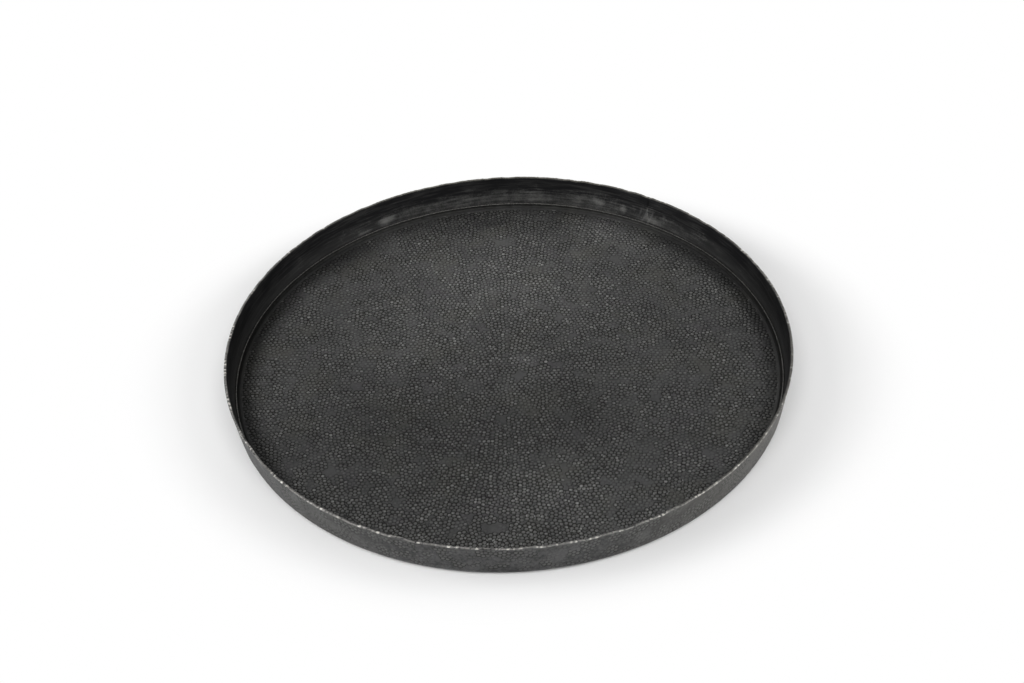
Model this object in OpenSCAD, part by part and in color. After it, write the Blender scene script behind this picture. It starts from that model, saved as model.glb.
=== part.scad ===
// Round low tray of hammered sheet metal, in millimetres.
// The floor is a pan with a turned-up lip. It sits inside a rolled band that is the wall and the foot.
// Z points up. The origin is on the table, under the middle of the tray.

/* [Tray] */
// Outer diameter at the rim
rim_d = 450; // [380:5:600]
// Height from the table to the top of the rim
tray_h = 31; // [24:1:50]
// How far the wall leans outwards from upright, in degrees
wall_lean = 8.5; // [3:0.5:15]

/* [Side band] */
// Sheet thickness of the band
band_t = 2; // [1.6:0.1:2.4]
// Outer radius of the rounded edge at the foot
foot_round = 5.6; // [5:0.1:7]
// Width of the flat strip that is turned in under the floor
foot_w = 16; // [10:1:30]

/* [Floor pan] */
// Sheet thickness of the pan
pan_t = 1.2; // [1:0.1:1.6]
// Height of the pan from its underside to the top of its lip
lip_h = 4.6; // [4.4:0.1:7]
// Outer radius of the bend between the pan's floor and its lip
lip_round = 4.2; // [4:0.1:5]
// Gap between the lip and the wall
lip_gap = 0.4; // [0.2:0.1:0.8]

/* [Worn rim] */
// Number of shallow dips in the top edge
dip_count = 72; // [40:1:120]
// Depth of the deepest dip
dip_depth = 0.5; // [0.3:0.1:1.2]
// Radius of the curve of the widest dip
dip_round = 60; // [30:1:80]

/* [Welds] */
// Direction of the band's seam, in degrees from +X
seam_angle = 55; // [0:1:359]
// Width of the seam
seam_w = 2.4; // [1.6:0.1:4]
// Number of weld stitches under the tray
stitch_count = 8; // [4:1:12]
// Length of one stitch
stitch_len = 24; // [12:1:40]
// Height and width of a stitch
stitch_leg = 1.4; // [1:0.1:1.5]

/* [Hidden] */
$fn = 180;

// Points along each rounded bend
bend_steps = 10;
// What a cutting shape runs past the face that it cuts
overrun = 1;
// Turn from one dip to the next, which spreads the dips without a visible rhythm
golden_turn = 137.508;
// Depth of the shallowest dip and radius of the tightest one, as shares of the largest
shallow_share = 0.2;
tight_share = 0.2;
// How fast depth and radius change from one dip to the next, in degrees
depth_step = 73;
round_step = 47;

// Radius at which the flat foot of the band meets its rounded edge
band_bend_r = rim_d / 2 - wall_run(foot_round, tray_h);
foot_inner_r = band_bend_r - foot_w;
// The same radius on the pan, set so that its lip stays parallel to the wall
pan_bend_r = band_bend_r
    + (band_t + lip_round - foot_round) * tan(wall_lean)
    + (foot_round - band_t - lip_round - lip_gap) / cos(wall_lean);

// Run from the start of a bend to the outer face of the wall at height h above the underside
function wall_run(bend_r, h) = (h - bend_r) * tan(wall_lean) + bend_r / cos(wall_lean);

// Points of an arc about (x, y), from angle a0 to angle a1
function arc(x, y, r, a0, a1) = [
    for (i = [0 : bend_steps])
        let (a = a0 + (a1 - a0) * i / bend_steps)
            [x + r * cos(a), y + r * sin(a)]
];

// Section of a sheet of thickness t that lies flat from start_r to bend_r,
// then bends up with outer radius round_r and leans outwards up to height h
function turned_up_section(start_r, bend_r, round_r, t, h) = concat(
    [[start_r, 0]],
    arc(bend_r, round_r, round_r, -90, -wall_lean),
    [[bend_r + wall_run(round_r, h), h]],
    [[bend_r + wall_run(round_r, h) - t / cos(wall_lean), h]],
    arc(bend_r, round_r, round_r - t, -wall_lean, -90),
    [[start_r, t]]
);

// Full ring of the wall and its foot, before the seam and the wear
module band_ring() {
    rotate_extrude()
        polygon(turned_up_section(foot_inner_r, band_bend_r, foot_round, band_t, tray_h));
}

// Upright slot across the wall and the foot, at the seam
module seam_slot() {
    rotate(seam_angle)
        translate([foot_inner_r - overrun, -seam_w / 2, -overrun])
            cube([rim_d / 2 - foot_inner_r + 2 * overrun, seam_w, tray_h + 2 * overrun]);
}

// Shallow round dips of mixed depth and width along the top edge
module rim_dips() {
    reach = band_t + rim_d / 2 - band_bend_r;
    for (i = [0 : dip_count - 1]) {
        depth = dip_depth * (shallow_share + (1 - shallow_share) * abs(sin(i * depth_step)));
        radius = dip_round * (tight_share + (1 - tight_share) * abs(sin(i * round_step)));
        rotate(i * golden_turn)
            translate([rim_d / 2 - reach, 0, tray_h + radius - depth])
                rotate([0, 90, 0])
                    cylinder(r = radius, h = reach + overrun, $fn = 64);
    }
}

module floor_pan() {
    color([0.20, 0.20, 0.20])
        translate([0, 0, band_t])
            rotate_extrude()
                polygon(turned_up_section(0, pan_bend_r, lip_round, pan_t, lip_h));
}

module side_band() {
    color([0.12, 0.12, 0.13])
        difference() {
            band_ring();
            seam_slot();
            rim_dips();
        }
}

module band_seam() {
    color([0.16, 0.16, 0.17])
        difference() {
            intersection() {
                band_ring();
                seam_slot();
            }
            rim_dips();
        }
}

// Fillet welds in the corner between the foot's inner edge and the underside of the pan
module weld_stitches() {
    stitch_turn = 360 * stitch_len / (2 * PI * foot_inner_r);
    color([0.30, 0.30, 0.31])
        for (i = [0 : stitch_count - 1])
            rotate(360 * i / stitch_count)
                rotate_extrude(angle = stitch_turn)
                    polygon([
                        [foot_inner_r, band_t],
                        [foot_inner_r - stitch_leg, band_t],
                        [foot_inner_r, band_t - stitch_leg],
                    ]);
}

floor_pan();
side_band();
band_seam();
weld_stitches();
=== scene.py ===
# %% [markdown]
# # A round tray of hammered metal
#
# The solids of this tray come from a CAD model: a floor pan with a turned-up lip, a rolled band that is
# the wall and the foot, the seam that closes the band, and the weld stitches underneath. They are smooth.
# The real tray is dark metal that was struck all over with a punch, and its top edge is torn and worn bare.
# This lesson turns the solids into that, with surfaces worked out in numpy and materials made of nodes.

import bpy
import numpy as np
from mathutils import Matrix, Vector


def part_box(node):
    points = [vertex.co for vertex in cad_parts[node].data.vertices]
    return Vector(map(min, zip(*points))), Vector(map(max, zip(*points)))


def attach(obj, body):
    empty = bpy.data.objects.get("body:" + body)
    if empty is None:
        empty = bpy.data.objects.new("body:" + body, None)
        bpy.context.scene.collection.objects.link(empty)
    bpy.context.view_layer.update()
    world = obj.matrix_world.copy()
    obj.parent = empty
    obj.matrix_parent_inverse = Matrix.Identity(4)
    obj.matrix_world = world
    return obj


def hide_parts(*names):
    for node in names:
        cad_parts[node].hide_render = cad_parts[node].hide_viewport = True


MM = 0.001
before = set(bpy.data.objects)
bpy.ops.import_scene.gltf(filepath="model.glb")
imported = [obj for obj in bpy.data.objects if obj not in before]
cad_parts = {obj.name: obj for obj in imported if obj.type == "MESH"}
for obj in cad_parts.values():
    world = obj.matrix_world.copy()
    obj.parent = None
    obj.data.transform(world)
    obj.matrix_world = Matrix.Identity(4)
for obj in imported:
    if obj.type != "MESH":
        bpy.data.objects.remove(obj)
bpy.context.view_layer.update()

# %% [markdown]
# ## Sizes
#
# A dressed piece has to stay inside the solids that it stands for. So heights are read from the loaded
# solids, and only what can't be read from a box, such as a sheet's thickness, is written here. The rim's
# radius is written too, because the dips in the rim make the solids' box a hair narrower than the circle.

# %% Read the sizes
band_low, band_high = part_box("side_band")
pan_low, pan_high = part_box("floor_pan")
stitch_low, stitch_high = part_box("weld_stitches")

rim_r = 225 * MM
tray_h = band_high.z
wall_lean = np.radians(8.5)
band_t = pan_low.z
foot_round = 5.6 * MM
foot_w = 16 * MM
pan_t = 1.2 * MM
pan_h = pan_high.z - pan_low.z
lip_round = 4.2 * MM
lip_gap = 0.4 * MM
floor_z = pan_low.z + pan_t
print("Height", round(tray_h / MM, 2), "mm, floor", round(floor_z / MM, 2), "mm above the table")

# %% [markdown]
# ## The section of a turned-up sheet
#
# The band and the pan are the same thing in two sizes: a sheet that lies flat, bends up at its edge, leans
# outwards and ends in a cut edge. One function gives the outline of that section. Spun round the upright
# axis it makes the whole piece, which is how such a tray looks when a spinner or a roller has made it.

# %% Outline of the section
UNDER, OUTER_BEND, OUTSIDE, EDGE, INSIDE, INNER_BEND, UPPER, CUT = range(8)


def wall_run(bend_r, height):
    """Run from the start of a bend to the wall's outer face, at a height above the sheet's underside."""
    return (height - bend_r) * np.tan(wall_lean) + bend_r / np.cos(wall_lean)


def turned_up_outline(start_r, bend_start, bend_r, thickness, height, steps, burr=0.3 * MM):
    """Outline of the sheet in the plane of radius and height, anticlockwise from its inner lower corner.

    Flat underside, arc, leaning wall, cut edge with a rounded top, the same way back at a distance of one
    thickness, and the cut inner end. steps gives the number of points on each of these eight legs.
    Returns radius, height and the number of the leg, for every point.
    """
    share = [np.linspace(0, 1, n, endpoint=leg >= UPPER) for leg, n in enumerate(steps)]
    turn = np.pi / 2 - wall_lean
    down = -np.pi / 2
    wall_foot = bend_r * (1 - np.sin(wall_lean))
    inner_foot = bend_r - (bend_r - thickness) * np.sin(wall_lean)
    skin = thickness / np.cos(wall_lean)
    bevel = thickness / 12

    def outer_face(z):
        return bend_start + wall_run(bend_r, z)

    def arc(radius, angle):
        return bend_start + radius * np.cos(angle), bend_r + radius * np.sin(angle)

    radius, level = [None] * len(steps), [None] * len(steps)
    radius[UNDER] = start_r + bevel + (bend_start - start_r - bevel) * share[UNDER]
    level[UNDER] = 0 * share[UNDER]
    radius[OUTER_BEND], level[OUTER_BEND] = arc(bend_r, down + turn * share[OUTER_BEND])
    level[OUTSIDE] = wall_foot + (height - burr - wall_foot) * share[OUTSIDE]
    radius[OUTSIDE] = outer_face(level[OUTSIDE])
    level[EDGE] = height - burr * (2 * share[EDGE] - 1) ** 4
    radius[EDGE] = outer_face(level[EDGE]) - skin * share[EDGE]
    level[INSIDE] = height - burr - (height - burr - inner_foot) * share[INSIDE]
    radius[INSIDE] = outer_face(level[INSIDE]) - skin
    radius[INNER_BEND], level[INNER_BEND] = arc(bend_r - thickness, down + turn * (1 - share[INNER_BEND]))
    radius[UPPER] = bend_start + (start_r + bevel - bend_start) * share[UPPER]
    level[UPPER] = thickness + 0 * share[UPPER]
    radius[CUT] = start_r + 0 * share[CUT]
    level[CUT] = thickness - bevel - (thickness - 2 * bevel) * share[CUT]
    legs = np.concatenate([np.full(n, leg) for leg, n in enumerate(steps)])
    return np.concatenate(radius), np.concatenate(level), legs


band_bend = rim_r - wall_run(foot_round, tray_h)
foot_inner_r = band_bend - foot_w
pan_bend = (
    band_bend
    + (band_t + lip_round - foot_round) * np.tan(wall_lean)
    + (foot_round - band_t - lip_round - lip_gap) / np.cos(wall_lean)
)
print("The foot is flat from", round(foot_inner_r / MM, 1), "to", round(band_bend / MM, 1), "mm")

# %% [markdown]
# ## From a grid of points to a mesh
#
# Every surface here is a grid of points, so one function can turn any of them into a mesh. A grid may be
# joined up in either direction, as a tube is. A first column that shrinks to a point becomes a fan of
# triangles, so that no hole is left at the pole. Values that belong to the points, such as how bare the
# metal is, go with them as attributes, and the materials read those.


# %% Mesh from a grid
def grid_faces(rows, columns, ring, tube):
    """Corner numbers of the quads of a grid: each point with its neighbours one row and one column on."""
    row = np.arange(rows if ring else rows - 1)[:, None]
    column = np.arange(columns if tube else columns - 1)[None, :]
    next_row = (row + 1) % rows
    next_column = (column + 1) % columns
    corners = [
        row * columns + column,
        next_row * columns + column,
        next_row * columns + next_column,
        row * columns + next_column,
    ]
    return np.stack(np.broadcast_arrays(*corners), axis=-1).reshape(-1, 4)


def grid_normals(points, ring, tube):
    """Unit normals of a grid: the cross product of the steps along its two directions."""

    def step(axis, closed):
        if closed:
            return np.roll(points, -1, axis) - np.roll(points, 1, axis)
        return np.gradient(points, axis=axis)

    normals = np.cross(step(0, ring), step(1, tube))
    return normals / np.linalg.norm(normals, axis=-1, keepdims=True)


def grid_mesh(name, points, paint, ring=False, tube=False, pole=False, caps=False, normals=None):
    """Object with one vertex per point of a (rows, columns, 3) grid, smooth, with float attributes."""
    rows, columns = points.shape[:2]
    faces = grid_faces(rows, columns, ring, tube).tolist()
    vertices = points.reshape(-1, 3)
    paint = {key: np.broadcast_to(value, (rows, columns)).ravel() for key, value in paint.items()}
    if pole:
        first = np.arange(rows) * columns
        middle = np.full(rows, rows * columns)
        faces += np.stack([middle, np.roll(first, -1), first], axis=-1).tolist()
        vertices = np.vstack([vertices, points[:, 0].mean(axis=0) * [0, 0, 1]])
        paint = {key: np.append(value, value[0]) for key, value in paint.items()}
    if caps:
        faces.append(list(range(columns)))
        faces.append(list(range(rows * columns - 1, (rows - 1) * columns - 1, -1)))
    mesh = bpy.data.meshes.new(name)
    mesh.from_pydata(vertices, [], faces)
    mesh.polygons.foreach_set("use_smooth", np.ones(len(faces), bool))
    for key, value in paint.items():
        mesh.attributes.new(key, "FLOAT", "POINT").data.foreach_set("value", value.astype(np.float32))
    if normals is not None:
        mesh.normals_split_custom_set_from_vertices(normals.reshape(-1, 3))
    mesh.update()
    piece = bpy.data.objects.new(name, mesh)
    bpy.context.scene.collection.objects.link(piece)
    print(name, "has", len(mesh.vertices), "vertices and", len(mesh.polygons), "faces")
    return piece


def spun(radius, height, angle):
    """Points of an outline spun round Z: row by angle, column along the outline."""
    turn = angle[:, None]
    radius, height = np.broadcast_arrays(radius, height)
    flat = np.broadcast_to(radius, (len(angle), radius.shape[-1]))
    level = np.broadcast_to(height, flat.shape)
    return np.stack([flat * np.cos(turn), flat * np.sin(turn), level], axis=-1)


def smooth_step(value, low, high):
    """0 below low, 1 above high, and 3t^2 - 2t^3 between them."""
    t = np.clip((value - low) / (high - low), 0, 1)
    return t * t * (3 - 2 * t)


def bell(value, width):
    """1 at 0, and falling to both sides: exp(-(value / width)^2)."""
    return np.exp(-((value / width) ** 2))


def wavering(angle, slowest, fastest, count, rng):
    """Noise that closes on itself round a circle: a sum of sines with whole numbers of waves a turn."""
    waves = rng.integers(slowest, fastest, count)[:, None]
    start = rng.uniform(0, 2 * np.pi, count)[:, None]
    return np.sin(waves * angle + start).sum(axis=0) * np.sqrt(2 / count)


def waviness(x, y, length, count, rng):
    """Noise on a plane: a sum of sine waves about one length long, that run in all directions."""
    heading = rng.uniform(0, 2 * np.pi, count)
    pace = 2 * np.pi / (length * rng.uniform(0.7, 1.5, count))
    start = rng.uniform(0, 2 * np.pi, count)
    total = np.zeros_like(x)
    for h, p, s in zip(heading, pace, start):
        total += np.sin(p * (x * np.cos(h) + y * np.sin(h)) + s)
    return total * np.sqrt(2 / count)


# %% [markdown]
# ## The camera
#
# The camera comes before the pieces, so that each of them can be looked at as the photograph shows it. It
# looks down at 40 degrees through a long lens, and is rolled a little, because the tray in the picture is
# not quite level. A camera matrix has the camera's right, up and backward directions as its columns.

# %% Place the camera
look_down = np.radians(40.47)
roll = np.radians(3.09)
lens_in_widths = 2000 / 1024
distance = 7.143 * rim_r
centre_right = -0.0161 * rim_r
centre_up = -0.1091 * rim_r

right = Vector((1, 0, 0))
up = Vector((0, np.sin(look_down), np.cos(look_down)))
ahead = Vector((0, np.cos(look_down), -np.sin(look_down)))
place = -(right * centre_right + up * centre_up + ahead * distance)
rolled_right = right * np.cos(roll) - up * np.sin(roll)
rolled_up = right * np.sin(roll) + up * np.cos(roll)

camera = bpy.data.objects.new("Camera", bpy.data.cameras.new("Camera"))
camera.data.lens = camera.data.sensor_width * lens_in_widths
camera.data.clip_start = 0.1
camera.data.clip_end = 50
turned = Matrix((rolled_right, rolled_up, -ahead)).transposed().to_4x4()
camera.matrix_world = Matrix.Translation(place) @ turned
bpy.context.scene.collection.objects.link(camera)
bpy.context.scene.camera = camera
print("Lens", round(camera.data.lens, 1), "mm, camera", [round(c, 3) for c in place])

# %% [markdown]
# ## Where the punch fell
#
# The punch has a round face with seven hollows: one in the middle and six round it. Each blow sinks the
# metal round seven small pips. The maker worked round the tray course by course, so the blows lie on
# circles, as far apart as the blows along a circle are. Neighbouring courses keep the same number of blows
# for a while, which lines them up into the faint spokes that the eye picks out. A hand is never exact, so
# each blow slips, turns, tilts and weighs a little differently, and a few are missed.

# %% Lay out the blows
punch_pitch = 3.5 * MM
pip_r = 1.72 * MM
punch_rim = 0.70 * MM
course_step = 8.7 * MM
blow_step = 8.7 * MM
zone_growth = 1.36
field_r = 212.5 * MM
field_middle = (-1.0 * MM, -0.5 * MM)
HOLLOWS = 7
hand_slip = 0.45 * MM
hand_turn = 0.18
hand_tilt = 0.45
missed_share = 0.03
weight_spread = 0.18
lightest = 0.42
stray_count = 2600
rng = np.random.default_rng(7)


def blow(x, y, turn, weight):
    """Table of blows, one row each: place, turn, weight, tilt and the direction of the tilt."""
    count = len(x)
    tilt = rng.uniform(0, hand_tilt, count)
    heading = rng.uniform(0, 2 * np.pi, count)
    return np.stack([x, y, turn, weight, tilt, heading], axis=-1)


def usual_weight(x, y):
    """How hard the blows fall at a place: firm along the line from front to back, firmer still at the
    front and front left, and lighter at the back. It is a sum of a bell and smooth steps."""
    in_line = bell(x, 110 * MM)
    in_front = smooth_step(-y, 100 * MM, 150 * MM) * smooth_step(-x, -80 * MM, -20 * MM)
    at_back = smooth_step(y, 60 * MM, 140 * MM)
    return 0.58 + 0.18 * in_line + 0.22 * in_front - 0.09 * at_back


def courses_of_blows():
    """Blows on circles round the middle. The number on a circle goes up where the radius has grown by
    zone_growth, so between such places the blows line up into spokes."""
    rows = []
    radii = np.linspace(0.35 * course_step, field_r, round(field_r / course_step))
    for radius in radii:
        zone = np.floor(np.log(radius / course_step + 1) / np.log(zone_growth))
        middle = course_step * (zone_growth ** (zone + 0.5) - 1)
        count = max(3, round(2 * np.pi * max(middle, 0.7 * radius) / blow_step))
        angle = 2 * np.pi * np.arange(count) / count + zone + rng.normal(0, 0.006)
        ring_r = radius + rng.normal(0, hand_slip, count)
        angle = angle + rng.normal(0, hand_slip, count) / radius
        turn = angle + rng.normal(0, hand_turn, count)
        kept = rng.random(count) > missed_share
        x = field_middle[0] + ring_r * np.cos(angle)
        y = field_middle[1] + ring_r * np.sin(angle)
        drift = 0.07 * np.sin(9 * angle + radius / (12 * MM))
        weight = np.clip(rng.normal(usual_weight(x, y) + drift, weight_spread), lightest, 1)
        table = blow(x, y, turn, weight)
        rows.append(table[kept])
    return np.concatenate(rows)


def stray_blows(count):
    """Light blows that fell anywhere, before the courses were struck. They show in the gaps."""
    radius = field_r * np.sqrt(rng.random(count))
    angle = rng.uniform(0, 2 * np.pi, count)
    return blow(radius * np.cos(angle), radius * np.sin(angle), angle, rng.uniform(0.2, 0.5, count))


floor_blows = np.concatenate([stray_blows(stray_count), courses_of_blows()])
print(len(floor_blows), "blows on the floor,", HOLLOWS * len(floor_blows), "pips")

# %% [markdown]
# ## What a blow leaves
#
# Where two blows overlap, the later one wipes out the earlier one's pips and leaves its own, so the courses
# lie over each other like scales. Each point therefore keeps the mark of the latest blow that covers it.
# Testing every point against every blow would be slow, so the blows are sorted into square bins first, and
# each point looks only into its own bin and the eight round it.

# %% Work out the marks
BIN = 7 * MM


def binned(blows):
    """Table that gives, for each square bin, the numbers of the blows in it, filled up with -1."""
    cell = np.floor((blows[:, :2] - blows[:, :2].min(axis=0)) / BIN).astype(int) + 1
    size = cell.max(axis=0) + 2
    key = cell[:, 0] * size[1] + cell[:, 1]
    order = np.argsort(key, kind="stable")
    ranked = key[order]
    rank = np.arange(len(key)) - np.searchsorted(ranked, ranked)
    table = np.full((size[0] * size[1], rank.max() + 1), -1)
    table[ranked, rank] = order
    return table.reshape(size[0], size[1], -1)


def from_hollow(dx, dy, turn):
    """Distance to the nearest of the seven hollows. The angle round the punch is folded into one twelfth,
    so that only the middle hollow and one of the six others can be the nearest."""
    apart = np.hypot(dx, dy)
    sixth = np.pi / 3
    angle = np.abs((np.arctan2(dy, dx) - turn + sixth / 2) % sixth - sixth / 2)
    return np.minimum(apart, np.hypot(apart * np.cos(angle) - punch_pitch, apart * np.sin(angle)))


def punch_marks(x, y, blows):
    """How deep each point is driven and how hard it is covered, both from 0 to 1.

    With r the distance to the nearest hollow and face a step from 1 to 0 just outside the hollows,
    covered is force * face and driven is force * face * min(1, (r / pip radius)^4). That leaves a round
    pip standing in every hollow, with a narrow groove round it. Both are the latest blow's whose face is
    over a half, or where there is none, the largest of all.
    """
    table = binned(blows)
    low = blows[:, :2].min(axis=0)
    column = np.clip(np.floor((x - low[0]) / BIN).astype(int) + 1, 1, table.shape[0] - 2)
    row = np.clip(np.floor((y - low[1]) / BIN).astype(int) + 1, 1, table.shape[1] - 2)
    driven = np.zeros_like(x)
    covered = np.zeros_like(x)
    latest = np.full(x.shape, -1)
    for across in (-1, 0, 1):
        for along in (-1, 0, 1):
            for rank in range(table.shape[2]):
                number = table[column + across, row + along, rank]
                x0, y0, turn, weight, tilt, heading = np.moveaxis(blows[number], -1, 0)
                dx, dy = x - x0, y - y0
                lean = 1 + tilt * (dx * np.cos(heading) + dy * np.sin(heading)) / punch_pitch
                force = np.where(number >= 0, weight * np.clip(lean, 0, 1.3), 0)
                off = from_hollow(dx, dy, turn)
                face = 1 - smooth_step(off, pip_r, pip_r + punch_rim)
                mark = force * face
                groove = mark * np.minimum(1, (off / pip_r) ** 4)
                taken = (face > 0.5) & (number > latest)
                open_ground = latest < 0
                covered = np.where(taken, mark, np.where(open_ground, np.maximum(covered, mark), covered))
                driven = np.where(taken, groove, np.where(open_ground, np.maximum(driven, groove), driven))
                latest = np.where(taken, number, latest)
    return driven, covered


# %% [markdown]
# ## The hammered floor
#
# A disc is awkward to cover with a grid. Rings and spokes crowd at the middle and gape at the rim. Here a
# square grid is bent onto the disc instead: squares round the middle become circles, and all cells keep the
# same area, so every pip gets the same number of points. The floor is one sheet, but a mesh of that many
# faces is heavy to handle, so it is stored as nine patches. Their normals come from the whole sheet, so no
# seam shows where they meet.

# %% Bend a square grid onto the floor
floor_r = 214.5 * MM
floor_cells = 780
punch_depth = 0.5 * MM
thinnest = 0.12 * MM


def square_onto_disc(a, b):
    """Takes the square -1..1 onto the unit disc: the larger of |a| and |b| is the radius, and the ratio of
    the smaller to the larger, times an eighth of a turn, is the angle from the nearest axis."""
    wide = np.abs(a) > np.abs(b)
    radius = np.where(wide, a, b)
    safe = np.where(radius == 0, 1, radius)
    angle = np.where(wide, np.pi / 4 * b / safe, np.pi / 2 - np.pi / 4 * a / safe)
    return radius * np.cos(angle), radius * np.sin(angle)


side = np.linspace(-1, 1, floor_cells + 1)
disc_x, disc_y = square_onto_disc(*np.meshgrid(side, side, indexing="ij"))
x, y = disc_x * floor_r, disc_y * floor_r
dent, covered = punch_marks(x, y, floor_blows)

# The sheet swells a little between the blows, and lies calm at its border, where it meets the pan's edge.
# Under the deepest mark a thin skin of sheet is left, so that none cuts through the underside.
rng = np.random.default_rng(11)
calm = 1 - smooth_step(np.hypot(x, y), 0.9 * floor_r, floor_r)
swell = waviness(x, y, 60 * MM, 12, rng) * 0.09 * MM + waviness(x, y, 24 * MM, 16, rng) * 0.035 * MM
dent = dent * (1 - smooth_step(np.hypot(x, y), 0.994 * floor_r, floor_r))
z = floor_z - dent * punch_depth + (swell - 0.3 * MM) * calm
floor_points = np.stack([x, y, np.clip(z, pan_low.z + thinnest, floor_z)], axis=-1)

floor_normals = grid_normals(floor_points, ring=False, tube=False)
level = floor_points[..., 2]
print("Floor from", round(level.min() / MM, 2), "to", round(level.max() / MM, 2), "mm above the table")

# %% [markdown]
# ## Where the black was rubbed thin, and painted light and shade
#
# The tray was blackened and then rubbed bright again, harder in some places than in others. Just inside
# the lip and at the back, the spots and arcs are partly that wear and partly painted light, which lifts the
# floor where the wall's shadow falls. Along the lip the floor is darkened with painted shade from the wall.
# A noise texture can't be told where to be light, so a short table of soft spots and arcs says it. It is
# worked out at the points and goes with the mesh as an attribute.

# %% Rub the black thin, and paint light and shade
# middle, half widths and strength of each spot, in millimetres; the spots are partly wear and partly
# painted light
wear_and_painted_light_spots = [
    (0, 195, 190, 50, 0.42),
    (0, 110, 90, 55, 0.40),
    (-75, 45, 50, 35, 0.16),
    (3, 3, 40, 40, 0.04),
    (14, 9, 11, 7, 0.55),
    (140, -60, 60, 60, 0.03),
    (30, -150, 70, 45, 0.20),
    (-120, -60, 70, 55, -0.18),
    (-40, -65, 55, 40, -0.16),
    (55, -62, 50, 40, -0.22),
    (-70, -140, 60, 40, -0.10),
    (104, 181, 30, 13, 0.24),
    (-104, 181, 30, 13, 0.16),
]
# azimuth and half width in degrees, and strength, of each arc just inside the lip; partly wear, partly
# painted light on the ring that the wall shades
wear_and_painted_light_arcs = [
    (0, 14, 0.10),
    (28, 15, 0.55),
    (60, 16, 1.45),
    (90, 12, 0.15),
    (120, 17, 0.65),
    (151, 15, 0.55),
    (180, 12, 0.20),
]


def degrees_from(angle, azimuth):
    """Angle from an azimuth, in degrees, from -180 to 180."""
    return (np.degrees(angle) - azimuth + 180) % 360 - 180


def wear_with_painted_light(x, y):
    """Colour factor for wear and painted light: 1 plus a bell for each place and each arc, times a fall to
    less than 1 in the painted shade of the wall that lies along the lip."""
    radius, angle = np.hypot(x, y), np.arctan2(y, x)
    wear_and_painted_light = np.ones_like(x)
    for x0, y0, wide, deep, strength in wear_and_painted_light_spots:
        wear_and_painted_light += strength * bell(x - x0 * MM, wide * MM) * bell(y - y0 * MM, deep * MM)
    near_lip = bell(radius - 200 * MM, 19 * MM)
    for azimuth, wide, strength in wear_and_painted_light_arcs:
        wear_and_painted_light += strength * near_lip * bell(degrees_from(angle, azimuth), wide)
    # painted shade: the wall's shadow on the floor along the lip, strongest at the left and weakest at the
    # back
    painted_wall_shade = 0.43 + 0.32 * bell(degrees_from(angle, 190), 38) - 0.25 * bell(degrees_from(angle, 90), 45)
    return wear_and_painted_light * (1 - painted_wall_shade * smooth_step(radius, 196 * MM, 215 * MM))


wear_and_painted_light = wear_with_painted_light(x, y)
print("The floor's colour is multiplied by", round(wear_and_painted_light.min(), 2), "to", round(wear_and_painted_light.max(), 2))

# %% [markdown]
# ## The floor in patches
#
# The grid is cut three by three. Neighbouring patches share the points on the line between them, so there
# is no gap, and each takes its own part of the normals and of the values to be painted.

# %% Cut the floor into patches
third = floor_cells // 3
thirds = [slice(start, start + third + 1) for start in (0, third, 2 * third)]
floor_pieces = []
for rows in thirds:
    for columns in thirds:
        part = (rows, columns)
        piece = grid_mesh(
            f"floor_patch_{len(floor_pieces) + 1}",
            floor_points[part],
            {"dent": dent[part], "pip": (covered - dent)[part], "bare": 0.0, "wear_and_painted_light": wear_and_painted_light[part]},
            normals=floor_normals[part],
        )
        floor_pieces.append(piece)

# %% [markdown]
# ## The edge of the pan
#
# Outside the hammered field the pan is smooth. It bends up into a small lip whose cut edge is bare metal
# and stands free of the wall. The rest of the pan, with its underside, is the outline spun round the
# axis. It has as many points round as the floor has on its border, so the two meet point for point.

# %% Spin the pan's edge
pan_steps = (8, 5, 2, 4, 2, 7, 3, 0)
pan_start = 0.5 * MM
pan_burr = 0.15 * MM
radius, level, leg = turned_up_outline(pan_start, pan_bend, lip_round, pan_t, pan_h, pan_steps, pan_burr)
radius[leg == UPPER] = np.linspace(pan_bend, floor_r, pan_steps[UPPER])
level = level + band_t
angle = 2 * np.pi * np.arange(4 * floor_cells) / (4 * floor_cells)

rng = np.random.default_rng(5)
nick = np.abs(wavering(angle, 60, 400, 24, rng)) * 0.12 * MM
lip_top = smooth_step(level, pan_high.z - 1.2 * MM, pan_high.z)
# The inside of the lip's bend is given the grooves' dark colour.
bend_darkening = 0.65 * np.isin(leg, (INNER_BEND, INSIDE)) * smooth_step(radius, pan_bend, pan_bend + 2 * MM)
points = spun(radius, level[None, :] - nick[:, None] * lip_top, angle)
# Painted highlight: the bare cut edge of the lip is made brighter toward the back.
painted_back_highlight = 0.4 + 0.6 * np.clip(np.sin(angle), 0, 1)[:, None]
# The floor's wear and its painted light and shade, carried onto the pan's edge.
edge_wear_and_painted_light = wear_with_painted_light(points[..., 0], points[..., 1])
pan_edge = grid_mesh(
    "pan_edge",
    points,
    {"dent": bend_darkening, "pip": 0.0, "bare": (leg == EDGE) * painted_back_highlight, "wear_and_painted_light": edge_wear_and_painted_light},
    ring=True,
    pole=True,
)

# %% [markdown]
# ## The torn rim
#
# The band's top edge is not straight. It has shallow dips from planishing, and a row of small beads where
# the sheet was cut through its own hammer marks. All of this is a function of the angle alone, so it moves
# each column of the band's top points down together, and fades out a few millimetres below.

# %% Shape of the rim
dip_count = 72
dip_depth = 0.5 * MM
dip_round = 60 * MM
golden_turn = 137.508
shallow_share = 0.2
tight_share = 0.2
depth_step = 73
round_step = 47


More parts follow.
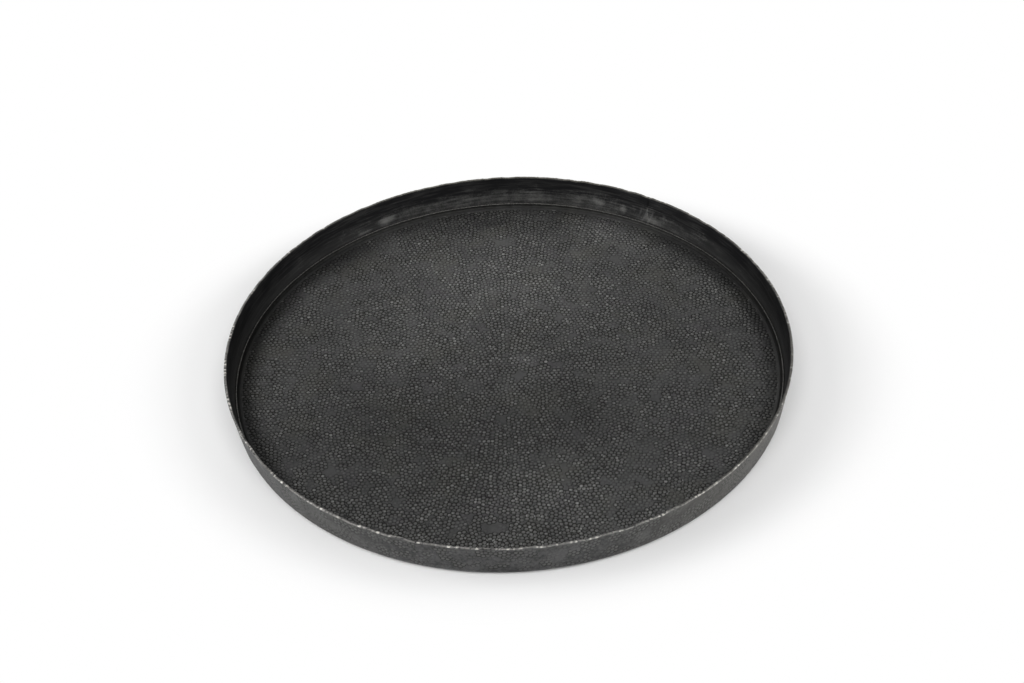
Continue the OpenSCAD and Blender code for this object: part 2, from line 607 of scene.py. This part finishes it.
def rim_dips(angle):
    """The dips of the solid. Each is an arc: depth - s^2 / (2 * radius), with s the way along the rim."""
    number = np.arange(dip_count)[:, None]
    depth_wave = np.abs(np.sin(np.radians(depth_step * number)))
    round_wave = np.abs(np.sin(np.radians(round_step * number)))
    depth = dip_depth * (shallow_share + (1 - shallow_share) * depth_wave)
    bend = dip_round * (tight_share + (1 - tight_share) * round_wave)
    off = (angle - np.radians(golden_turn) * number + np.pi) % (2 * np.pi) - np.pi
    return np.clip(depth - (off * rim_r) ** 2 / (2 * bend), 0, None).max(axis=0)


def rim_beads(angle, rng):
    """A row of beads, from 0 between them to 1 on top: |cos| of the way round, with a wandering phase."""
    count = round(2 * np.pi * rim_r / punch_pitch)
    return np.abs(np.cos(count / 2 * angle + 1.6 * wavering(angle, 10, 90, 24, rng)))


rim_angles = np.radians(np.arange(0, 360, 0.1))
print("The rim dips by up to", round(rim_dips(rim_angles).max() / MM, 2), "mm")

# %% [markdown]
# ## The side band
#
# The band is a closed tube: its section, with the foot turned in underneath, spun all the way round. The
# outside was hammered in the flat, before rolling, so it carries the same marks as the floor but fainter.
# Laid flat, it is a strip as long as the rim, so the same function works out its marks. The rows of blows
# are copied once before and once after the strip, which makes the marks meet where the strip closes.

# %% Marks on the outside of the band
band_steps = (5, 8, 42, 8, 20, 4, 2, 3)
band_turns = 2400
radius, level, leg = turned_up_outline(foot_inner_r, band_bend, foot_round, band_t, tray_h, band_steps)
angle = 2 * np.pi * np.arange(band_turns) / band_turns
rng = np.random.default_rng(23)

girth = 2 * np.pi * rim_r
lowest_row = 5.5 * MM
row_step = 6.8 * MM
row_blow_step = 7.6 * MM
row_missed_share = 0.15
tables = []
for height in np.arange(lowest_row, tray_h, row_step):
    count = round(girth / row_blow_step)
    place_round = girth * np.arange(count) / count + rng.normal(0, 2 * MM, count)
    place_up = height + rng.normal(0, 1.2 * MM, count)
    table = blow(place_round, place_up, rng.uniform(0, np.pi, count), rng.uniform(0.1, 1, count))
    tables.append(table[rng.random(count) > row_missed_share])
wall_blows = np.concatenate(tables)
before, after = wall_blows.copy(), wall_blows.copy()
before[:, 0] -= girth
after[:, 0] += girth
wall_blows = np.concatenate([before, wall_blows, after])

round_the_wall, up_the_wall = np.meshgrid(angle * rim_r, level, indexing="ij")
wall_driven, wall_covered = punch_marks(round_the_wall, up_the_wall, wall_blows)
outside = np.isin(leg, (OUTER_BEND, OUTSIDE)) * smooth_step(level, 2 * MM, 4 * MM)
outside = outside * (1 - smooth_step(level, tray_h - 1.5 * MM, tray_h))
wall_dent = wall_driven * outside
wall_pip = (wall_covered - wall_driven) * outside
wall_swell = wavering(angle, 8, 60, 20, rng)[:, None] * 0.06 * MM
print(len(tables), "rows of blows outside,", sum(len(table) for table in tables), "blows")

# %% [markdown]
# ## Ripples and scuffs
#
# The inside of the band is smooth and black. It is scuffed where things have slid against it, and beside
# the seam a grinder has left a few bowed ripples. Both are functions of the way round and the height. The
# ripples are a power of a cosine, which gives narrow ridges, on lines that bow with the height. The scuffs
# are a table of soft spots, and where two overlap the stronger one shows.

# %% Ripples and scuffs on the inside of the band
seam_at = np.radians(55)
inside = (leg >= INSIDE) * 1.0


def from_azimuth(azimuth):
    """Distance round the wall of each point from an azimuth."""
    return ((angle - azimuth + np.pi) % (2 * np.pi) - np.pi)[:, None] * rim_r


off_seam = from_azimuth(seam_at)
bowed = off_seam - (level[None, :] - 20 * MM) ** 2 / (40 * MM)
low_down = 1 - smooth_step(level, 16 * MM, 21 * MM)
ripple_zone = np.exp(-((off_seam / (8 * MM)) ** 4)) * (leg == INSIDE) * low_down
ripple = np.cos(np.pi * bowed / (5.8 * MM)) ** 8 * ripple_zone

# azimuth in degrees, height, half length and half height in millimetres, strength
scuffs = [
    (117, 12, 12, 5.0, 0.75),
    (123, 9, 14, 3.0, 0.5),
    (107, 10, 5, 3.5, 0.6),
    (98, 9, 14, 3.0, 0.4),
    (84, 10, 40, 5.0, 0.5),
    (67, 14, 9, 5.0, 0.65),
    (61, 13, 5, 6.0, 0.7),
    (54, 11, 16, 6.0, 0.45),
    (47, 10, 16, 4.0, 0.35),
    (86, 12, 190, 11.0, 0.44),
    (50, 14, 70, 9.0, 0.30),
]
scuffed = np.zeros(round_the_wall.shape)
for azimuth, height, long, tall, strength in scuffs:
    spot = bell(from_azimuth(np.radians(azimuth)), long * MM) * bell(level - height * MM, tall * MM)
    scuffed = np.maximum(scuffed, strength * spot)
print(len(scuffs), "scuffs, the strongest", round(scuffed.max(), 2))

# %% [markdown]
# ## The band's top edge
#
# Along the top the dips, the beads and a fine raggedness are added up into one drop for each angle. A burr
# stands out between the cut edge and the inside. The bare metal is a narrow line along the edge. It
# wanders, comes and goes, and is duller at the back and on the right, as on the real tray.

# %% Shape the top edge
bead = rim_beads(angle, rng)
clear = smooth_step(wavering(angle, 4, 30, 12, rng), -0.8, 0.8)
ragged = np.abs(wavering(angle, 40, 160, 20, rng)) * 0.05 * MM
drop = rim_dips(angle) + ragged + (1 - bead) * (0.2 + 0.8 * clear) * 0.22 * MM
near_edge = smooth_step(level, tray_h - 3 * MM, tray_h)

# Way across the top edge from its outer corner, below 0 outside and above band_t inside
far_away = 1.0
from_outside = np.select(
    [leg == OUTSIDE, leg == EDGE, leg == INSIDE],
    [level - tray_h, (rim_r - radius) * np.cos(wall_lean), band_t + tray_h - level],
    far_away,
)
line_width = 0.8 * MM
burr = 0.25 * MM * (bead * clear)[:, None] * bell(from_outside - band_t, line_width)
inward = wall_dent * 0.22 * MM + (0.1 * MM + wall_swell) * outside + ripple * 0.1 * MM + burr
points = spun(np.minimum(radius - inward, rim_r), level - drop[:, None] * near_edge, angle)
print("The top edge drops by up to", round(drop.max() / MM, 2), "mm")

# %% Paint light and shade on the band, and bare its edge
bright = smooth_step(wavering(angle, 20, 140, 24, rng), -0.3, 1.4)
fine = smooth_step(wavering(angle, 150, 450, 30, rng), -0.5, 0.9)
# azimuth in degrees, half length in millimetres and strength of the band's painted light and shade: lighter
# and darker sides, and the back lifted most, inside and out
band_painted_light = [
    (-32, 150, 0.35),
    (-92, 80, -0.14),
    (-128, 60, 0.12),
    (90, 210, 0.80),
]
wear_and_painted_light = np.ones((band_turns, 1))
for azimuth, long, strength in band_painted_light:
    wear_and_painted_light += strength * bell(from_azimuth(np.radians(azimuth)), long * MM)
line_at = (0.45 - np.clip(wear_and_painted_light - 1, 0, 0.35) + 0.12 * wavering(angle, 6, 70, 16, rng)[:, None]) * band_t
line = bell(from_outside - line_at, line_width)
at_back = bell(from_azimuth(np.radians(90)), 240 * MM)
at_right = bell(from_azimuth(np.radians(-12)), 120 * MM)
bare = np.clip(line * (0.33 + 1.5 * bright * fine)[:, None], 0, 1)
bare = bare * (1 - 0.5 * at_back) * (1 - 0.45 * at_right)
print("The line is more than half bare on", round(100 * (bare.max(axis=1) > 0.5).mean()), "% of the edge")

# %% Spin the band
paint = {
    "dent": wall_dent,
    "pip": wall_pip,
    "bare": bare,
    "inside": inside,
    "ripple": ripple,
    "scuff": scuffed,
    "wear_and_painted_light": wear_and_painted_light,
}
paint = {key: np.broadcast_to(value, points.shape[:2]) for key, value in paint.items()}
normals = grid_normals(points, ring=True, tube=True)
band_pieces = []
for number in range(4):
    part = np.arange(number * band_turns // 4, (number + 1) * band_turns // 4 + 1) % band_turns
    here = {key: value[part] for key, value in paint.items()}
    name = f"band_quarter_{number + 1}"
    band_pieces.append(grid_mesh(name, points[part], here, tube=True, normals=normals[part]))

# %% [markdown]
# ## The seam
#
# The seam is a bead that runs up the inside and outside of the band. It was ground nearly flush, so it is
# the band's own section made a little fatter in the middle of its width, and a little thinner at the sides,
# where it goes under the band's skin.

# %% Lay the seam
seam_w = 2.4 * MM
seam_rows = 9
crown = np.linspace(-1, 1, seam_rows)[:, None]
seam_steps = (8, 8, 30, 4, 30, 4, 3, 3)
seam_h = tray_h - 1.6 * MM
radius, level, leg = turned_up_outline(foot_inner_r, band_bend, foot_round, band_t, seam_h, seam_steps)
middle_r, middle_z = np.roll(radius, -1) - np.roll(radius, 1), np.roll(level, -1) - np.roll(level, 1)
length = np.hypot(middle_r, middle_z)
run = np.cumsum(length) / 2
fat = (0.10 * MM + 0.03 * MM * np.sin(2 * np.pi * run / (1.7 * MM))) * (1 - crown**2) - 0.04 * MM
fat = fat * smooth_step(level, 3 * MM, 8 * MM)
seam_r = np.minimum(radius + fat * middle_z / length, rim_r)
seam_z = np.clip(level - fat * middle_r / length, 0.05 * MM, tray_h)
seam_angle = seam_at + crown[:, 0] * seam_w / 2 / rim_r
seam_scuff = 0.5 * bell(level - 14 * MM, 9 * MM)
band_seam = grid_mesh(
    "band_seam_bead",
    spun(seam_r, seam_z, seam_angle),
    {"inside": (leg >= INSIDE) * 1.0, "wear_and_painted_light": 1.0, "scuff": seam_scuff},
    tube=True,
    caps=True,
)

# %% [markdown]
# ## The weld stitches
#
# The stitches underneath are short fillets in the corner between the foot and the pan: a quarter circle
# carried round the corner, that thins out at its two ends and has a ripple for each stop of the torch.
# The grid runs along the stitch one way and round the quarter circle the other way.

# %% Lay the stitches
stitch_count = 8
stitch_len = 24 * MM
stitch_leg = stitch_high.z - stitch_low.z
along_bead = np.linspace(0, 1, 61)[:, None]
round_bead = np.linspace(0, np.pi / 2, 7)[None, :]
taper = np.sqrt(np.clip(1 - (2 * along_bead - 1) ** 8, 0, 1))
swell = stitch_leg * taper * (0.86 + 0.14 * np.abs(np.sin(along_bead * np.pi * 12)))
bead_r = np.concatenate([foot_inner_r - swell * np.cos(round_bead), foot_inner_r + 0 * swell], axis=1)
bead_z = np.concatenate([band_t - swell * np.sin(round_bead), band_t + 0 * swell], axis=1)
stitches = []
for number in range(stitch_count):
    start = 2 * np.pi * number / stitch_count
    bead_angle = start + along_bead[:, 0] * stitch_len / foot_inner_r
    stitch = grid_mesh(
        f"weld_stitch_{number + 1}",
        spun(bead_r, bead_z, bead_angle),
        {},
        tube=True,
    )
    stitches.append(stitch)

# %% [markdown]
# ## Sums of sockets
#
# A material is arithmetic on values that change over the surface. Written as nodes and links it takes a
# page, and nobody can read it. A small class wraps a socket, so that a plus or a times in Python adds the
# Math node. A number on the left of the sign works as well, because the class has the reflected forms.


# %% Arithmetic on sockets
class Value:
    """A value in a node tree. Python's operators on it add Math nodes."""

    def __init__(self, tree, socket):
        self.tree = tree
        self.socket = socket

    def math(self, operation, first, second):
        node = self.tree.nodes.new("ShaderNodeMath")
        node.operation = operation
        join(self.tree, first, node.inputs[0])
        join(self.tree, second, node.inputs[1])
        return Value(self.tree, node.outputs[0])

    def __add__(self, other):
        return self.math("ADD", self, other)

    def __sub__(self, other):
        return self.math("SUBTRACT", self, other)

    def __rsub__(self, other):
        return self.math("SUBTRACT", other, self)

    def __mul__(self, other):
        return self.math("MULTIPLY", self, other)

    __radd__ = __add__
    __rmul__ = __mul__


def join(tree, value, socket):
    """Links a Value to a socket, or sets the socket to a plain number or colour."""
    if isinstance(value, Value):
        tree.links.new(value.socket, socket)
    elif isinstance(value, tuple) and socket.type == "RGBA":
        socket.default_value = (*value, 1)
    else:
        socket.default_value = value


# %% [markdown]
# ## A finish
#
# A second class holds a material while it is made. It has one method that adds any kind of node, and a few
# short ones built on it for what every finish here uses: noise, a value painted on the mesh, a smooth step,
# a mix of two colours and a bump.


# %% A finish and its nodes
class Finish:
    """A material on its way: one Principled shader, and the nodes that feed it."""

    def __init__(self, name):
        self.material = bpy.data.materials.new(name)
        self.material.use_nodes = True
        self.tree = self.material.node_tree
        self.shader = self.tree.nodes["Principled BSDF"]

    def node(self, kind, settings, values, output=0):
        """Adds a node: its settings first, then the values or links of its sockets, named by identifier."""
        made = self.tree.nodes.new(kind)
        for key, value in settings.items():
            setattr(made, key, value)
        sockets = {socket.identifier: socket for socket in made.inputs}
        for key, value in values.items():
            join(self.tree, value, sockets[key])
        return Value(self.tree, made.outputs[output])

    def place(self, stretch=(1, 1, 1), shift=(0, 0, 0)):
        """Object coordinates, stretched and shifted."""
        here = self.node("ShaderNodeTexCoord", {}, {}, "Object")
        return self.node("ShaderNodeMapping", {}, {"Vector": here, "Scale": stretch, "Location": shift})

    def noise(self, size, detail=2.0, rough=0.5, stretch=(1, 1, 1), shift=(0, 0, 0)):
        """Cloudy noise from 0 to 1, whose blots are about one size across, in metres."""
        where = self.place(stretch, shift)
        values = {"Vector": where, "Scale": 1 / size, "Detail": detail, "Roughness": rough}
        return self.node("ShaderNodeTexNoise", {}, values)

    def painted(self, name):
        """An attribute of the mesh."""
        return self.node("ShaderNodeAttribute", {"attribute_name": name}, {}, "Fac")

    def step(self, value, low, high):
        """0 below low, 1 above high, smooth between."""
        values = {"Value": value, "From Min": low, "From Max": high}
        return self.node("ShaderNodeMapRange", {"interpolation_type": "SMOOTHSTEP"}, values)

    def mix(self, share, first, second):
        """The first colour where share is 0, and the second where it is 1."""
        values = {"Factor_Float": share, "A_Color": first, "B_Color": second}
        return self.node("ShaderNodeMix", {"data_type": "RGBA"}, values, 2)

    def times(self, colour, factor):
        """The colour times a grey factor."""
        values = {"Factor_Float": 1.0, "A_Color": colour, "B_Color": factor}
        return self.node("ShaderNodeMix", {"data_type": "RGBA", "blend_type": "MULTIPLY"}, values, 2)

    def bump(self, height, depth):
        """Raises the surface by height times depth, in metres, for the light only."""
        return self.node("ShaderNodeBump", {}, {"Height": height, "Distance": depth})

    def feed(self, **values):
        """Sets or links the Principled shader's sockets. An underline in a name stands for a space."""
        for key, value in values.items():
            join(self.tree, value, self.shader.inputs[key.replace("_", " ")])
        return self.material


# %% [markdown]
# ## The hammered floor's finish
#
# The metal was blackened, then rubbed, so it is dark in the grooves, and lighter on the pips and in the
# smooth places between the blows. A fine noise picks the few pips that were rubbed almost bright. Large,
# soft clouds of brown and violet come from the blackening. Metal has no colour of its own besides its
# reflection, so the base colour is what it reflects.

# %% Finish of the floor
ground_dark = (0.084, 0.084, 0.084)
ground_light = (0.116, 0.116, 0.115)
brown_cloud = (0.115, 0.113, 0.096)
violet_cloud = (0.103, 0.096, 0.104)
groove_black = (0.015, 0.015, 0.014)
pip_grey = (0.180, 0.180, 0.173)
pip_bright = (0.36, 0.36, 0.35)
lip_bare = (0.40, 0.39, 0.37)

hammered = Finish("hammered_metal")
cloud = hammered.noise(70 * MM, 3.0, 0.6)
blotch = hammered.noise(16 * MM, 4.0, 0.65, shift=(3, 0, 0))
fleck = hammered.noise(3.6 * MM, 2.0, 0.5, shift=(2, 2, 0))
grain = hammered.noise(1.3 * MM, 3.0, 0.6)
hue = hammered.noise(38 * MM, 2.0, 0.5, shift=(0, 5, 0))
dent = hammered.painted("dent")
pip = hammered.painted("pip")
edge = hammered.painted("bare")

light = hammered.step(cloud * 0.4 + blotch * 0.3 + fleck * 0.2 + grain * 0.1, 0.38, 0.62)
metal = hammered.mix(light, ground_dark, ground_light)
metal = hammered.mix(hammered.step(hue, 0.50, 0.68) * 0.35, metal, brown_cloud)
metal = hammered.mix(hammered.step(hue, 0.45, 0.30) * 0.35, metal, violet_cloud)
groove = hammered.step(dent, 0.06, 0.60) * (0.74 + 0.34 * fleck)
metal = hammered.mix(groove, metal, groove_black)
rubbed = 0.35 + 0.65 * hammered.step(blotch * 0.6 + fleck * 0.4, 0.38, 0.62)
worn = hammered.step(pip, 0.1, 0.8) * rubbed
metal = hammered.mix(worn * 0.7, metal, pip_grey)
metal = hammered.mix(worn * hammered.step(fleck, 0.57, 0.69) * 0.6, metal, pip_bright)
# Wear, painted light where the wall's shadow falls, and painted shade along the lip, all from the mesh.
metal = hammered.times(metal, hammered.painted("wear_and_painted_light"))
metal = hammered.mix(edge * hammered.step(grain, 0.3, 0.6), metal, lip_bare)
roughness = 0.36 + 0.16 * cloud + 0.10 * grain + 0.10 * dent - 0.04 * pip
relief = grain * 0.7 + hammered.noise(0.5 * MM, 2.0) * 0.3
hammered_metal = hammered.feed(
    Base_Color=metal,
    Roughness=roughness,
    Metallic=1.0,
    Normal=hammered.bump(relief, 0.05 * MM),
)
print("The floor's finish has", len(hammered.tree.nodes), "nodes")

# %% [markdown]
# ## The band's finish
#
# Outside, the band is the same metal, but more mottled. Inside it is nearly black, streaked round the wall
# by the roller, with pale scuffs near the floor where things have slid against it. The top edge is bare:
# bright metal, with the black left in its pits.

# %% Finish of the band
skin_dark = (0.052, 0.052, 0.053)
skin_light = (0.128, 0.128, 0.128)
skin_warm = (0.100, 0.096, 0.084)
skin_groove = (0.022, 0.022, 0.021)
skin_pip = (0.19, 0.19, 0.182)
streak_dark = (0.016, 0.016, 0.017)
streak_light = (0.038, 0.038, 0.038)
dust_grey = (0.080, 0.080, 0.079)
scuff_grey = (0.30, 0.30, 0.29)
ripple_grey = (0.24, 0.24, 0.24)
rim_bare = (0.90, 0.875, 0.82)

band = Finish("dark_band")
cloud = band.noise(60 * MM, 3.0, 0.6)
blotch = band.noise(12 * MM, 4.0, 0.65, shift=(0, 2, 0))
mottle = band.noise(2.8 * MM, 3.0, 0.65, shift=(4, 0, 0))
grain = band.noise(1.1 * MM, 3.0, 0.6)
streak = band.noise(26 * MM, 3.0, 0.6, stretch=(1, 1, 14), shift=(1, 1, 0))
dent = band.painted("dent")
pip = band.painted("pip")
bare = band.painted("bare")
inner = band.painted("inside")
ground = band.painted("ripple")
wear_and_painted_light = band.painted("wear_and_painted_light")
height = band.node("ShaderNodeSeparateXYZ", {}, {"Vector": band.place()}, 2)

light = band.step(cloud * 0.2 + blotch * 0.3 + mottle * 0.35 + grain * 0.15, 0.40, 0.60)
metal = band.mix(light, skin_dark, skin_light)
# The attribute's painted light and shade lightens and darkens the band's sides, and warms them where it
# lightens.
metal = band.mix((wear_and_painted_light - 1.0) * 1.5, metal, skin_warm)
metal = band.mix(band.step(dent, 0.1, 0.7) * 0.8, metal, skin_groove)
metal = band.mix(pip * 0.5, metal, skin_pip)
metal = band.times(metal, wear_and_painted_light)
black = band.mix(band.step(streak, 0.4, 0.7), streak_dark, streak_light)
# The same painted light and shade on the inside, lightest at the back.
black = band.times(black, wear_and_painted_light)
low = band.step(height, 0.022, 0.010)
black = band.mix(low * (0.2 + 0.6 * streak), black, dust_grey)
worn = band.step(band.painted("scuff") + blotch * 0.7 + streak * 0.6 + grain * 0.5, 1.06, 1.80)
black = band.mix(worn, black, scuff_grey)
black = band.mix(ground * 0.4, black, ripple_grey)
metal = band.mix(inner, metal, black)
pits = band.step(band.noise(2.2 * MM, 3.0, 0.7), 0.36, 0.52)
metal = band.mix(bare * pits, metal, rim_bare)
roughness = 0.42 + 0.14 * cloud + 0.12 * grain - 0.12 * bare
relief = grain * 0.5 + mottle * 1.0 + streak * 0.3
dark_band = band.feed(
    Base_Color=metal,
    Roughness=roughness,
    Metallic=1.0,
    Normal=band.bump(relief, 0.06 * MM),
)
print("The band's finish has", len(band.tree.nodes), "nodes")

# %% [markdown]
# ## The welds' finish
#
# The stitches were never polished. They are paler than the blackened sheet, with soot in large blots and
# dark specks in the ripples.

# %% Finish of the welds
weld_soot = (0.10, 0.098, 0.094)
weld_pale = (0.30, 0.295, 0.285)
weld_speck = (0.05, 0.048, 0.045)

weld = Finish("weld_metal")
speck = weld.noise(1.0 * MM, 4.0, 0.7)
soot = weld.noise(9 * MM, 3.0, 0.6)
metal = weld.mix(weld.step(soot, 0.4, 0.62), weld_soot, weld_pale)
weld_metal = weld.feed(
    Base_Color=weld.mix(weld.step(speck, 0.5, 0.7) * 0.5, metal, weld_speck),
    Roughness=0.35 + 0.25 * speck,
    Metallic=1.0,
    Normal=weld.bump(speck, 0.08 * MM),
)
print("The welds' finish has", len(weld.tree.nodes), "nodes")

# %% [markdown]
# ## Dress the pieces
#
# Every piece rides on the tray's one body and gets its finish, and the solid that it stands for is hidden.

# %% Dress the tray
for piece in [*floor_pieces, pan_edge]:
    piece.data.materials.append(hammered_metal)
    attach(piece, "root")
    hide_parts("floor_pan")
for piece in [*band_pieces, band_seam]:
    piece.data.materials.append(dark_band)
    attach(piece, "root")
    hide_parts("band_seam" if piece is band_seam else "side_band")
for piece in stitches:
    piece.data.materials.append(weld_metal)
    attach(piece, "root")
    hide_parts("weld_stitches")
print(len(floor_pieces) + len(band_pieces) + len(stitches) + 2, "pieces dressed")

# %% [markdown]
# ## The paper
#
# The tray stands on plain white paper, which is pure white away from the tray and still holds its soft
# shadow. More light would do that too, but would wash out the tray. So the paper's material does it: in an
# oval round the tray it is pale paper that takes the shadow, and outside the oval it is plain white to the
# rays that come from the camera or that the metal reflects. Light Path tells the material which they are.

# %% Lay the paper
paper_half = 30.0
paper_mesh = bpy.data.meshes.new("paper")
corners = [(a * paper_half, b * paper_half, 0) for a, b in ((-1, -1), (1, -1), (1, 1), (-1, 1))]
paper_mesh.from_pydata(corners, [], [(0, 1, 2, 3)])
paper = bpy.data.objects.new("paper", paper_mesh)
bpy.context.scene.collection.objects.link(paper)

sheet = Finish("white_paper")
sheet.feed(Base_Color=(0.9, 0.9, 0.9), Roughness=0.9)
oval_wide, oval_deep, oval_shift = 0.31, 0.25, 0.005
oval = sheet.place(stretch=(1 / oval_wide, 1 / oval_deep, 0), shift=(0, oval_shift / oval_deep, 0))
around = sheet.node("ShaderNodeVectorMath", {"operation": "LENGTH"}, {"Vector": oval}, 1)
paths = sheet.tree.nodes.new("ShaderNodeLightPath")
seen = Value(sheet.tree, paths.outputs["Is Camera Ray"]) + Value(sheet.tree, paths.outputs["Is Glossy Ray"])
white = sheet.node("ShaderNodeEmission", {}, {"Color": (1.0, 1.0, 1.0), "Strength": 1.0})
whole = sheet.tree.nodes.new("ShaderNodeMixShader")
join(sheet.tree, seen * sheet.step(around, 0.88, 1.06), whole.inputs[0])
sheet.tree.links.new(sheet.shader.outputs[0], whole.inputs[1])
sheet.tree.links.new(white.socket, whole.inputs[2])
sheet.tree.links.new(whole.outputs[0], sheet.tree.nodes["Material Output"].inputs["Surface"])
paper_mesh.materials.append(sheet.material)
print("The paper is", 2 * paper_half, "m across, and its finish has", len(sheet.tree.nodes), "nodes")

# %% [markdown]
# ## The light
#
# Dark metal shows mostly what it reflects, so the lamps are large and soft, and each one is there for what
# it puts on the metal. The left, right and front ones light the outside of the wall, and the front one the
# floor as well. The weak one above fills in, and the low one behind gives the floor its sheen. The room
# itself is nearly dark.

# %% Hang the lamps
room_light = 0.03
world = bpy.data.worlds.new("room")
bpy.context.scene.world = world
world.use_nodes = True
world.node_tree.nodes["Background"].inputs["Color"].default_value = (1, 1, 1, 1)
world.node_tree.nodes["Background"].inputs["Strength"].default_value = room_light


def soft_lamp(name, place, width, height, power):
    """A lamp with a width and height in metres and a power in watts, that faces the middle of the tray."""
    lamp = bpy.data.objects.new(name, bpy.data.lights.new(name, "AREA"))
    lamp.data.shape = "RECTANGLE"
    lamp.data.size = width
    lamp.data.size_y = height
    lamp.data.energy = power
    lamp.location = place
    lamp.visible_camera = False
    lamp.rotation_mode = "QUATERNION"
    lamp.rotation_quaternion = (-Vector(place)).to_track_quat("-Z", "Y")
    bpy.context.scene.collection.objects.link(lamp)


soft_lamp("left", (-1.34, -0.20, 0.66), 1.3, 1.2, 17)
soft_lamp("right", (1.30, -0.35, 0.66), 1.3, 1.2, 12.5)
soft_lamp("front", (0.0, -1.35, 1.75), 2.0, 1.6, 28)
soft_lamp("above", (0.0, 0.5, 1.6), 2.0, 1.2, 3)
soft_lamp("sweep", (0.0, 1.5, 0.75), 3.0, 0.8, 9)

view_settings = bpy.context.scene.view_settings
view_settings.view_transform = "Standard"
print(len(bpy.data.lights), "lamps of", sum(lamp.energy for lamp in bpy.data.lights), "watts together")
